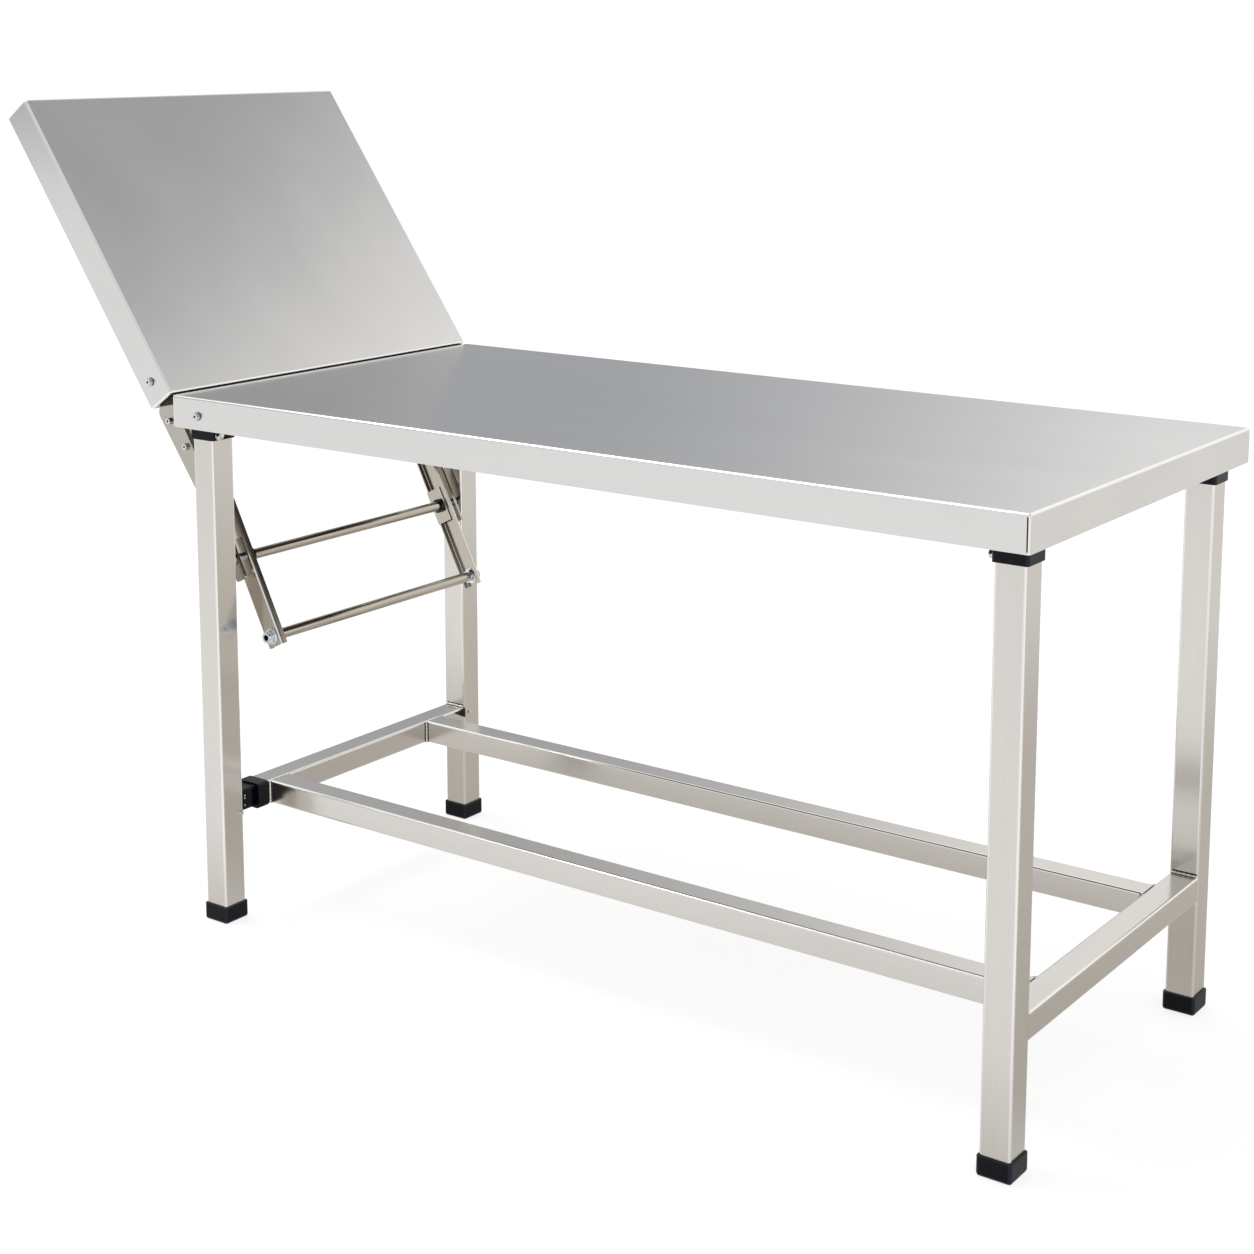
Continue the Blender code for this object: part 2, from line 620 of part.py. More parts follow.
def gusset_and_arm(name, side, steel, parent):
    """The plate under the backrest and the cranked arm bolted to its lower edge."""
    top = BACK_TOP - SHEET - 2 * FOLD_RADIUS
    under = BACK_TOP - BACK_DEPTH - GUSSET_CLEARANCE
    gusset = prism_y([(-GUSSET_BACK, top, 0.004), (-GUSSET_FRONT_EDGE, top, 0.004),
                      (-GUSSET_FRONT_EDGE, under, 0.006), (GUSSET_LENGTH * 0.8, under, 0.012),
                      (GUSSET_LENGTH, under - 0.026, 0.012), (GUSSET_LENGTH, -GUSSET_DROP, 0.004),
                      (-ARM_TAIL - 0.006, -GUSSET_DROP, 0.012), (-GUSSET_BACK * 0.6, under - 0.012, 0.02),
                      (-GUSSET_BACK, under + 0.012, 0.012)],
                     side, GUSSET_INSET, GUSSET_INSET + GUSSET_THICKNESS, 3)
    plate = add_object(f"backrest_gusset_{name}", gusset, steel, parent)
    half = ARM_TIP_WIDTH / 2
    knee_low, knee_high = arm_place(-ARM_KNEE, -half), arm_place(-ARM_KNEE, half)
    tip_low, tip_high = arm_place(ARM_TIP_LENGTH, -half), arm_place(ARM_TIP_LENGTH, half)
    arm_bm = prism_y([(-ARM_TAIL, knee_low[1], ARM_CORNER), (*knee_low, 0.0), (*tip_low, ARM_CORNER),
                      (*tip_high, ARM_CORNER), (*knee_high, 0.0), (-ARM_TAIL, -ARM_TOP, ARM_CORNER)],
                     side, ARM_INSET, ARM_INSET + ARM_THICKNESS, 3)
    arm = add_object(f"support_arm_{name}", arm_bm, steel, parent)
    pivot_hole = hole_y(f"arm_pivot_hole_{name}", ARM_REACH, -ARM_DROP, LARGE_BOLT + GAP, side, parent)
    boolean(arm, pivot_hole, "DIFFERENCE")
    for index, (x, z) in enumerate(GUSSET_BOLTS):
        tool = hole_y(f"gusset_hole_{name}_{index}", x, z, SMALL_BOLT + GAP, side, parent)
        boolean(arm, tool, "DIFFERENCE")
        boolean(plate, tool, "DIFFERENCE")


def gusset_bolts(name, side, bright, parent):
    """The bolts that clamp an arm to its gusset."""
    for index, (x, z) in enumerate(GUSSET_BOLTS):
        made = bolt(side, ARM_INSET, GUSSET_INSET + GUSSET_THICKNESS, SMALL_BOLT)
        add_object(f"arm_bolt_{name}_{index + 1}", made, bright, parent, (x, 0.0, z), smooth=30)


def stay_bar(name, side, steel, parent):
    """A channel bar along Z, open towards the middle of the table, with the sleeve at z = 0."""
    half, wall = STAY_WIDTH / 2, STAY_WALL
    back, front = side_y(side, STAY_INSET), side_y(side, STAY_INSET + STAY_DEPTH)
    inner = side_y(side, STAY_INSET + wall)
    corner = STAY_CORNER - wall
    section = outline([(-half, back, STAY_CORNER), (half, back, STAY_CORNER), (half, front, 0.0),
                       (half - wall, front, 0.0), (half - wall, inner, corner), (wall - half, inner, corner),
                       (wall - half, front, 0.0), (-half, front, 0.0)], 2)
    bm = bmesh.new()
    low = -STAY_BELOW_ROD - STAY_END
    face = face_in_xy(bm, section, low)
    extrude(bm, [face], (0.0, 0.0, STAY_ABOVE_ROD + STAY_END - low))
    bar = add_object(f"stay_bar_{name}", bm, steel, parent, smooth=40)
    upper = hole_y(f"stay_top_hole_{name}", 0.0, STAY_ABOVE_ROD, STAY_TOP_HOLE, side, parent, segments=20)
    lower = hole_y(f"stay_low_hole_{name}", 0.0, -STAY_BELOW_ROD, LOWER_ROD_RADIUS + GAP, side, parent,
                   segments=24)
    boolean(bar, upper, "DIFFERENCE")
    boolean(bar, lower, "DIFFERENCE")


def sleeve(name, side, steel, parent):
    """A plate folded round a stay bar: over its web, and back across its open side with a lip."""
    half, wall = STAY_WIDTH / 2, SLEEVE_WALL
    over_web, under_web = side_y(side, SLEEVE_INSET), side_y(side, STAY_INSET - GAP)
    before_mouth, over_mouth = side_y(side, STAY_INSET + STAY_DEPTH + GAP), side_y(side, SLEEVE_INNER_INSET)
    lip_end = side_y(side, STAY_INSET + STAY_DEPTH - SLEEVE_LIP)
    fold, bar_side = -half - GAP - wall, -half - GAP
    leg_end = half - STAY_CORNER
    lip_face = half - STAY_WALL - GAP
    outer, inner = wall + SLEEVE_INNER_CORNER, SLEEVE_INNER_CORNER
    section = outline([(leg_end, over_web, 0.0), (fold, over_web, outer), (fold, over_mouth, outer),
                       (lip_face, over_mouth, outer), (lip_face, lip_end, 0.0),
                       (lip_face - wall, lip_end, 0.0), (lip_face - wall, before_mouth, inner),
                       (bar_side, before_mouth, inner), (bar_side, under_web, inner),
                       (leg_end, under_web, 0.0)], 3)
    bm = bmesh.new()
    face = face_in_xy(bm, section, -SLEEVE_LENGTH / 2)
    extrude(bm, [face], (0.0, 0.0, SLEEVE_LENGTH))
    ends = []
    for edge in bm.edges:
        first, second = (vert.co for vert in edge.verts)
        at_leg_end = max(abs(first.x - leg_end), abs(second.x - leg_end)) < TOLERANCE
        if at_leg_end and abs(first.z - second.z) < TOLERANCE:
            ends.append(edge)
    bmesh.ops.bevel(bm, geom=ends, offset=SLEEVE_END_CORNER, segments=3, profile=0.5, affect="EDGES",
                    clamp_overlap=True, material=-1)
    add_object(f"stay_sleeve_{name}", bm, steel, parent, smooth=40)


def sleeve_pivot(name, side, bright, parent):
    """The bolt through an arm, with a spacer and the nut that bears on the sleeve."""
    direction = -side
    hexagon = LARGE_BOLT * HEX_FACTOR
    washer = hexagon * WASHER_FACTOR
    head = side_y(side, ARM_INSET - GAP)
    inside = side_y(side, ARM_INSET + ARM_THICKNESS + GAP)
    seat = side_y(side, SLEEVE_INSET - GAP)
    nut = seat - direction * NUT_HEIGHT
    under_head = head - direction * WASHER_HEIGHT
    stations = [(under_head - direction * HEAD_HEIGHT, hexagon, True), (under_head, hexagon, True),
                (under_head, washer, False), (head, washer, False), (head, LARGE_BOLT, False),
                (inside, LARGE_BOLT, False),
                (inside, SPACER_RADIUS, False), (nut, SPACER_RADIUS, False), (nut, hexagon, True),
                (seat, hexagon, True)]
    add_object(f"sleeve_pivot_bolt_{name}", bar_y(stations), bright, parent, smooth=30)


def upper_rod(bright, parent):
    """The rod between the sleeves, with a collar turned on each of its ends."""
    end = HALF_WIDTH - SLEEVE_INNER_INSET - GAP
    shoulder = end - ROD_COLLAR_LENGTH
    collar = UPPER_ROD_RADIUS + ROD_COLLAR_STEP
    stations = [(-end, collar, False), (-shoulder, collar, False), (-shoulder, UPPER_ROD_RADIUS, False),
                (shoulder, UPPER_ROD_RADIUS, False), (shoulder, collar, False), (end, collar, False)]
    add_object("upper_cross_rod", bar_y(stations, count=24), bright, parent, smooth=40)


def lower_rod(bright, parent):
    """The hollow rod through both stay bars, with a nut and washer on each side of each bar."""
    web_outer = HALF_WIDTH - STAY_INSET + GAP
    web_inner = HALF_WIDTH - STAY_INSET - STAY_WALL - GAP
    hexagon = LOWER_ROD_RADIUS * ROD_NUT_FACTOR
    washer = hexagon * ROD_WASHER_FACTOR
    radius = LOWER_ROD_RADIUS
    inner_nut = web_inner - WASHER_HEIGHT
    outer_nut = web_outer + WASHER_HEIGHT
    half = [(inner_nut - NUT_HEIGHT, radius, False), (inner_nut - NUT_HEIGHT, hexagon, True),
            (inner_nut, hexagon, True), (inner_nut, washer, False), (web_inner, washer, False),
            (web_inner, radius, False), (web_outer, radius, False), (web_outer, washer, False),
            (outer_nut, washer, False), (outer_nut, hexagon, True), (outer_nut + NUT_HEIGHT, hexagon, True),
            (outer_nut + NUT_HEIGHT, radius, False),
            (HALF_WIDTH - STAY_INSET + LOWER_ROD_STUB, radius, False)]
    stations = [(-y, reach, hexagonal) for y, reach, hexagonal in reversed(half)] + half
    rod = bar_y(stations, LOWER_ROD_BORE, 24)
    add_object("lower_cross_rod", rod, bright, parent, (0.0, 0.0, -STAY_BELOW_ROD), smooth=40)


def stay_bracket(name, side, steel, parent):
    """The plate under the head cross rail that reaches out below the hinge to a stay bar's pivot."""
    rail_bottom = SKIN_UNDERSIDE - CROSS_RAIL_SIZE - GAP
    left = CROSS_RAIL_INSET + GAP
    right = left + BRACKET_WIDTH
    pivot_top = STAY_PIVOT_Z + BRACKET_EDGE
    low = STAY_PIVOT_Z - BRACKET_EDGE
    nose = STAY_PIVOT_X - BRACKET_EDGE
    inner = BRACKET_INSET + BRACKET_THICKNESS
    corners = [(nose, low, BRACKET_EDGE * 0.98), (right, low, 0.006), (right, rail_bottom, 0.0),
               (left, rail_bottom, 0.0), (left, pivot_top, 0.003), (nose, pivot_top, BRACKET_EDGE * 0.98)]
    plate = add_object(f"stay_bracket_{name}", prism_y(corners, side, BRACKET_INSET, inner, 5), steel, parent)
    foot_bottom = rail_bottom - BRACKET_THICKNESS
    foot = prism_y([(left, foot_bottom, 0.0), (right, foot_bottom, 0.0), (right, rail_bottom, 0.0),
                    (left, rail_bottom, 0.0)], side, inner - BRACKET_THICKNESS / 4, inner + BRACKET_FOOT)
    boolean(plate, add_object(f"bracket_foot_{name}", foot, None, parent), "UNION")
    hole = hole_y(f"bracket_hole_{name}", STAY_PIVOT_X, STAY_PIVOT_Z, LARGE_BOLT + GAP, side, parent)
    boolean(plate, hole, "DIFFERENCE")


def stay_pivot(name, side, bright, parent):
    """The bolt through a bracket and the eye of a stay bar, with a wide washer over the eye."""
    direction = -side
    hexagon = LARGE_BOLT * HEX_FACTOR
    wide = STAY_TOP_HOLE + EYE_COVER
    head = side_y(side, STAY_INSET - GAP)
    nut = side_y(side, BRACKET_INSET + BRACKET_THICKNESS + GAP)
    under_head = head - direction * WASHER_HEIGHT
    stations = [(under_head - direction * HEAD_HEIGHT, hexagon, True), (under_head, hexagon, True),
                (under_head, wide, False), (head, wide, False), (head, LARGE_BOLT, False),
                (nut, LARGE_BOLT, False), (nut, hexagon, True), (nut + direction * NUT_HEIGHT, hexagon, True)]
    add_object(f"stay_pivot_bolt_{name}", bar_y(stations, count=24), bright, parent,
               (STAY_PIVOT_X, 0.0, STAY_PIVOT_Z), smooth=30)


def corner_bolt(name, side, x, z, bright, parent):
    """The bolt through a tray's side into its corner bracket."""
    made = bolt(side, 0.0, SHEET + GAP + CORNER_PLATE, SMALL_BOLT, washer_head=True)
    add_object(name, made, bright, parent, (x, 0.0, z), smooth=30)


def build():
    clear_scene()
    steel = material("brushed_stainless", (0.62, 0.60, 0.57), 0.32, 1.0)
    bright = material("zinc_plated", (0.70, 0.73, 0.78), 0.22, 1.0)
    plastic = material("black_nylon", (0.012, 0.013, 0.018), 0.45, 0.0)
    table = empty("table_origin", (-MIDDLE_X, 0.0, 0.0))
    back = empty("backrest_axis", (HINGE_X, 0.0, HINGE_Z), BACK_ANGLE, table)
    stay = empty("stay_axis", (ROD_X, 0.0, ROD_Z), -STAY_ANGLE, table)
    main_top = tray("main_top", 0.0, MAIN_LENGTH, TABLE_HEIGHT, MAIN_DEPTH, steel, table)
    back_top = tray("backrest_panel", BACK_HINGE_END, BACK_FREE_END, BACK_TOP, BACK_DEPTH, steel, back)
    flange_corner("main_flange_corner", main_top, 0.0, 1.0, TABLE_HEIGHT - MAIN_DEPTH,
                  MAIN_FLANGE_CORNER, table)
    flange_corner("back_flange_corner", back_top, BACK_HINGE_END, -1.0, BACK_TOP - BACK_DEPTH,
                  BACK_FLANGE_CORNER, back)
    top_frame(steel, table)
    legs(steel, plastic, table)
    lower_frame(steel, plastic, table)
    back_frame(steel, back)
    back_bolt_x = BACK_HINGE_END - CORNER_BOLT_BACK
    main_bolt_z = TABLE_HEIGHT - CORNER_BOLT_DROP
    back_bolt_z = BACK_TOP - CORNER_BOLT_DROP
    hinge(steel, bright, table, back)
    for name, side in (("near", -1), ("far", 1)):
        main_hole = corner_bracket(f"main_corner_bracket_{name}", side, 0.0, 1.0, TABLE_HEIGHT,
                                   CORNER_BOLT_MAIN, steel, table)
        back_hole = corner_bracket(f"back_corner_bracket_{name}", side, BACK_HINGE_END, -1.0, BACK_TOP,
                                   back_bolt_x, steel, back)
        boolean(main_top, main_hole, "DIFFERENCE")
        boolean(back_top, back_hole, "DIFFERENCE")
        corner_bolt(f"main_corner_bolt_{name}", side, CORNER_BOLT_MAIN, main_bolt_z, bright, table)
        corner_bolt(f"back_corner_bolt_{name}", side, back_bolt_x, back_bolt_z, bright, back)
        gusset_and_arm(name, side, steel, back)
        gusset_bolts(name, side, bright, back)
        stay_bar(name, side, steel, stay)
        sleeve(name, side, steel, stay)
        sleeve_pivot(name, side, bright, stay)
        stay_bracket(name, side, steel, table)
        stay_pivot(name, side, bright, table)
    upper_rod(bright, stay)
    lower_rod(bright, stay)


build()
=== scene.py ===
"""The looks of the stainless steel examination table: finishes, small fittings, light and camera."""
import math

import bmesh
import bpy
from mathutils import Matrix, Vector


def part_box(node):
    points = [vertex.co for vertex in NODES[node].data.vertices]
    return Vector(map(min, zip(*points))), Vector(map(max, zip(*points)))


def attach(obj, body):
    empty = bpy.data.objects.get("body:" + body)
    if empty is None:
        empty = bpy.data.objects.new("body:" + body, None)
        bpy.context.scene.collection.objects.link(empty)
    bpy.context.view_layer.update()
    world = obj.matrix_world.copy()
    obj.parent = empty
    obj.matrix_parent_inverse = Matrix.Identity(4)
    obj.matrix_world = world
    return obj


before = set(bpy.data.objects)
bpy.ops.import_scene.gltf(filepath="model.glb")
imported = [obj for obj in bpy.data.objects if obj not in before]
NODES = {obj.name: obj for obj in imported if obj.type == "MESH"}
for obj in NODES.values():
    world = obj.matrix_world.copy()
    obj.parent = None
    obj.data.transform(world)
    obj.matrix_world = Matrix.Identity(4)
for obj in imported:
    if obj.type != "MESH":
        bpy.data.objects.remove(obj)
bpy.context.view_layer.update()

# Photograph's camera, in the table's frame
CAMERA_PLACE = (1.8550, -2.4599, 1.3077)
CAMERA_YAW = math.radians(36.05)
CAMERA_PITCH = math.radians(8.87)
CAMERA_LENS = 63.46
CAMERA_SHIFT = -0.20
CAMERA_REACH = 100.0
SENSOR = 36.0

# How far the raised backrest and the stay bars lean round the cross axis
BACKREST_LEAN = math.radians(54.5)
STAY_LEAN = math.radians(27.04)

# Spacing of scratches and grain, in millimetres, drawn coarser than the real 0.1 mm or less so that they show
BRUSH_SPACING = 0.5
TUBE_BRUSH_SPACING = 0.4
MOULD_GRAIN = 0.35

# A scratch is this many times as long as it is wide
SCRATCH_STRETCH = 160

# Broader patterns, in repeats per metre
CLOUDS_ACROSS = 9.0
CLOUDS_ALONG = 1.6
DIE_LINES_ROUND = 900.0
DIE_LINES_ALONG = 12.0
ZINC_MOTTLE = 600.0
NYLON_SMUDGES = 70.0
OIL_PATCHES = 220.0
WELD_MOTTLE = 450.0

# Brushed steels: darker and lighter tone, roughness at each, spacing of the scratches and their strength
SHEET = (("#DEDDDC", "#E8E7E6"), (0.13, 0.20), BRUSH_SPACING, 0.2)
TUBE = (("#D5D2CE", "#E1DEDA"), (0.15, 0.23), TUBE_BRUSH_SPACING, 0.3)
# Mill tubes: the mill's dull skin, drawn darker as painted shade under the top
MILL_TUBE_WITH_PAINTED_SHADE = (("#77726A", "#8B867E"), (0.34, 0.48), TUBE_BRUSH_SPACING, 0.3)
PLATE = (("#B7B1A8", "#C9C4BB"), (0.16, 0.26), TUBE_BRUSH_SPACING, 0.4)
CHANNEL = (("#B4AEA4", "#C6C0B6"), (0.14, 0.22), TUBE_BRUSH_SPACING, 0.3)

# Darker and lighter tone of the other finishes, and their roughness at each
ROD_TONES = ("#B8B0A4", "#CBC5BA")
ROD_ROUGHNESS = (0.10, 0.20)
ZINC_TONES = ("#CDD0D4", "#F0F2F4")
ZINC_ROUGHNESS = (0.10, 0.24)
NYLON_TONES = ("#070A14", "#0C111D")
NYLON_ROUGHNESS = (0.24, 0.36)
# Blackened steel; on the hinge its black is painted shade for the gap between top and backrest
BLACKENED_AND_GAP_SHADE_TONES = ("#15130F", "#26231E")
BLACKENED_ROUGHNESS = (0.38, 0.55)
WELD_TONES = ("#EAE6DC", "#FDFCFA")
WELD_ROUGHNESS = (0.14, 0.34)

# Depth of each bump, in metres
BRUSH_DEPTH = 0.00005
MOULD_DEPTH = 0.00006
ZINC_DEPTH = 0.0001

# A normal's longest part on a flat face and on a corner, and its upward part beside and on an underside
CORNER_RANGE = (0.997, 0.95)
UNDERSIDE_RANGE = (-0.6, -0.9)

# Painted highlights on corners, painted shade under the trays and on bolt heads, and places where a
# finish changes, the last one in metres from the mid plane
STEEL_CORNER_PAINTED_HIGHLIGHT = "#FBFAF8"
NYLON_CORNER_PAINTED_HIGHLIGHT = "#323846"
TRAY_UNDERSIDE_PAINTED_SHADE = "#5C564D"
TRAY_UNDERSIDE_ROUGHNESS = 0.45
SOCKET_AND_RIM_SHADE_COLOUR = "#17191D"
COLLAR_COLOUR = "#3A3732"
NUT_COLOUR = "#E2E8EE"
ROD_FITTING_START = 0.2090

# Painted shade rings on a bolt head: radii in metres, fades as shares of the socket's and the head's own
# radius
SOCKET_RADIUS = 0.0019
RING_REACH = 0.01
SOCKET_FADE = (0.9, 1.1)
RIM_FADE = (0.84, 0.96)
RIM_PAINTED_SHADE = 0.7

# Collar bolts, in metres
GAP = 0.0003
COLLAR_BOLT_RADIUS = 0.0060
COLLAR_BOLT_LENGTH = 0.0050
COLLAR_BOLT_INSET = 0.0118
COLLAR_BOLT_RISE = 0.0072
COLLAR_WASHER_RADIUS = 0.0069
COLLAR_WASHER_HEIGHT = 0.0012

# Welds, in metres. Shift out of the corner and ripple are shares of the radius, rounding one of the height
WELD_RADIUS = 0.0025
WELD_STEP = 0.0024
WELD_SHIFT = 0.25
WELD_RIPPLE = 0.12
WELD_RIPPLE_TURN = 2.3
WELD_BAR_END = 0.003
WELD_CORNER_END = 0.002
DARK_BAND_WIDTH = 0.0042
DARK_BAND_HEIGHT = 0.0003
DARK_BAND_LIFT = 0.00005
DARK_BAND_ROUNDING = 0.4

# Heads: the bevel as a share of the height, and a screw's height as a share of its radius
HEAD_BEVEL = 0.2
SCREW_HEIGHT = 0.8

# Screws and wedge at the head crossbar's ends, in metres from the legs, the joint's base and the tube's top
LEG_SCREW_RADIUS = 0.0032
LEG_SCREW_INSET = 0.0045
LEG_SCREW_RISE = 0.0040
STEM_HALF_WIDTH = 0.01349
STEM_SCREW_RADIUS = 0.0014
STEM_SCREW_OFFSET = 0.0089
STEM_SCREW_RISES = (0.0106, 0.0214, 0.0254)
FAR_SCREW_RADIUS = 0.0030
FAR_SCREW_INSET = 0.0140
FAR_SCREW_DROP = 0.0115
WEDGE_CORNERS = ((0.0215, 0.0055), (0.0004, 0.0002), (0.0004, 0.0165))
WEDGE_DEPTH = 0.004
WEDGE_LIFT = 0.0001
WEDGE_ROUNDING = 0.0005

# Open seams at the top's foot corners, in metres
SEAM_WIDTH = 0.0017
SEAM_THICKNESS = 0.0003
SEAM_INSET = 0.0034
SEAM_LIFT = 0.00008
SEAM_BELOW = 0.003
SEAM_ABOVE = 0.004
SEAM_ROUNDING = 0.0001

# Floor: the sand coloured mat runs from near to far along Y, in metres and in shares of that run
FLOOR_SIZE = 40.0
FLOOR_GREY = "#A0A0A0"
FLOOR_GLOW_MIRRORED = 0.64
FLOOR_GLOW_SEEN = 0.79
MAT_NEAR = -0.6
MAT_FAR = 3.4
MAT_SHADES = ((0.0, "#FFFFFF"), (0.13, "#D3CEC6"), (0.44, "#D3CEC6"), (0.70, "#F4F2EE"))

# Room: the way to each grey patch, the cosines at its edge and where it is full, and its grey
ROOM_COLOUR = "#FDFCFA"
ROOM_PATCHES = (
    # Behind the camera, for all that faces it
    ((0.50, -0.70, 0.50), 0.20, 0.90, "#C6C7C9"),
    # Front left, for the near faces at the head end
    ((-0.85, -0.52, 0.10), 0.85, 0.99, "#B4B5B7"),
    # Back left, higher up, for the near edge of the top
    ((-0.60, 0.70, 0.40), 0.972, 1.0, "#C2C3C5"),
    # Back, on the horizon, for the foot end of the top
    ((-0.40, 0.91, -0.10), 0.93, 0.985, "#D4D5D7"),
    # Back left, a screen on the horizon, for the hinge end of the top
    ((-0.66, 0.75, 0.12), 0.945, 0.995, "#A6A8AC"),
    # Overhead at the back, a panel for the upper end of the backrest
    ((0.15, 0.50, 0.85), 0.91, 0.955, "#ACADB0"),
)

# Softbox above the head end, in metres and watts
LAMP_PLACE = (-1.3, -0.4, 3.0)
LAMP_TARGET = (0.1, 0.0, 0.8)
LAMP_SIZE = 1.6
LAMP_POWER = 40.0
LAMP_COLOUR = "#FFFDFA"

WHITE = (1.0, 1.0, 1.0, 1.0)
BLACK = (0.0, 0.0, 0.0, 1.0)


# Colours and nodes

def linear(hex_colour):
    """An sRGB hex colour as linear red, green, blue and alpha."""
    parts = [int(hex_colour[place:place + 2], 16) / 255 for place in (1, 3, 5)]
    return tuple(part / 12.92 if part <= 0.04045 else ((part + 0.055) / 1.055) ** 2.4
                 for part in parts) + (1.0,)


def add_node(tree, kind, settings=None, inputs=None, links=None, stops=()):
    """Adds a node, sets its properties, sockets and colour stops, and links other nodes' outputs to it."""
    node = tree.nodes.new(kind)
    for name, value in (settings or {}).items():
        setattr(node, name, value)
    for name, value in (inputs or {}).items():
        node.inputs[name].default_value = value
    for name, output in (links or {}).items():
        tree.links.new(output, node.inputs[name])
    if stops:
        elements = node.color_ramp.elements
        while len(elements) < len(stops):
            elements.new(0.5)
        for element, (place, colour) in zip(elements, stops):
            element.position = place
            element.color = colour
    return node


def new_material(name):
    """An empty material, its node tree and its piece's own coordinates."""
    made = bpy.data.materials.new(name)
    made.use_nodes = True
    made.node_tree.nodes.clear()
    place = add_node(made.node_tree, "ShaderNodeTexCoord").outputs["Object"]
    return made, made.node_tree, place


def toned(tree, pattern, tones, roughness):
    """The colour and the roughness that follow a 0 to 1 pattern, from the first of each to the second."""
    tone = add_node(tree, "ShaderNodeValToRGB", links={"Fac": pattern},
                    stops=[(0.3, linear(tones[0])), (0.7, linear(tones[1]))])
    rough = add_node(tree, "ShaderNodeMapRange", inputs={"To Min": roughness[0], "To Max": roughness[1]},
                     links={"Value": pattern})
    return tone.outputs["Color"], rough.outputs["Result"]


def finish_surface(tree, tone, rough, settings, bump=None):
    """Ends a material with its shader. A bump is its height, its strength and its depth in metres."""
    links = {"Base Color": tone, "Roughness": rough}
    if bump:
        height, strength, depth = bump
        raised = add_node(tree, "ShaderNodeBump", inputs={"Strength": strength, "Distance": depth},
                          links={"Height": height})
        links["Normal"] = raised.outputs["Normal"]
    shader = add_node(tree, "ShaderNodeBsdfPrincipled", inputs=settings, links=links)
    add_node(tree, "ShaderNodeOutputMaterial", links={"Surface": shader.outputs["BSDF"]})


def mix_colours(tree, factor, base, other):
    """The base colour where the factor is 0, and the other colour, given as hex, where it is 1."""
    mixed = add_node(tree, "ShaderNodeMix", settings={"data_type": "RGBA"}, inputs={"B": linear(other)},
                     links={"Factor": factor, "A": base})
    return mixed.outputs["Result"]


def upright_normal(tree, lean):
    """The surface normal, turned back by how far its piece leans round the cross axis."""
    normal = add_node(tree, "ShaderNodeTexCoord").outputs["Normal"]
    turned = add_node(tree, "ShaderNodeVectorRotate", settings={"rotation_type": "Y_AXIS"},
                      inputs={"Angle": lean}, links={"Vector": normal})
    return turned.outputs["Vector"]


def corner_mask(tree, lean=0.0):
    """1 on rounded corners and folds, 0 on flat faces."""
    size = add_node(tree, "ShaderNodeVectorMath", settings={"operation": "ABSOLUTE"},
                    links={0: upright_normal(tree, lean)})
    parts = add_node(tree, "ShaderNodeSeparateXYZ", links={"Vector": size.outputs["Vector"]})
    level = add_node(tree, "ShaderNodeMath", settings={"operation": "MAXIMUM"},
                     links={0: parts.outputs["X"], 1: parts.outputs["Y"]})
    most = add_node(tree, "ShaderNodeMath", settings={"operation": "MAXIMUM"},
                    links={0: level.outputs["Value"], 1: parts.outputs["Z"]})
    return add_node(tree, "ShaderNodeMapRange",
                    inputs={"From Min": CORNER_RANGE[0], "From Max": CORNER_RANGE[1]},
                    links={"Value": most.outputs["Value"]}).outputs["Result"]


def underside_mask(tree, lean):
    """1 on faces that look down out of a tray, 0 elsewhere."""
    parts = add_node(tree, "ShaderNodeSeparateXYZ", links={"Vector": upright_normal(tree, lean)})
    return add_node(tree, "ShaderNodeMapRange",
                    inputs={"From Min": UNDERSIDE_RANGE[0], "From Max": UNDERSIDE_RANGE[1]},
                    links={"Value": parts.outputs["Z"]}).outputs["Result"]


# Finishes

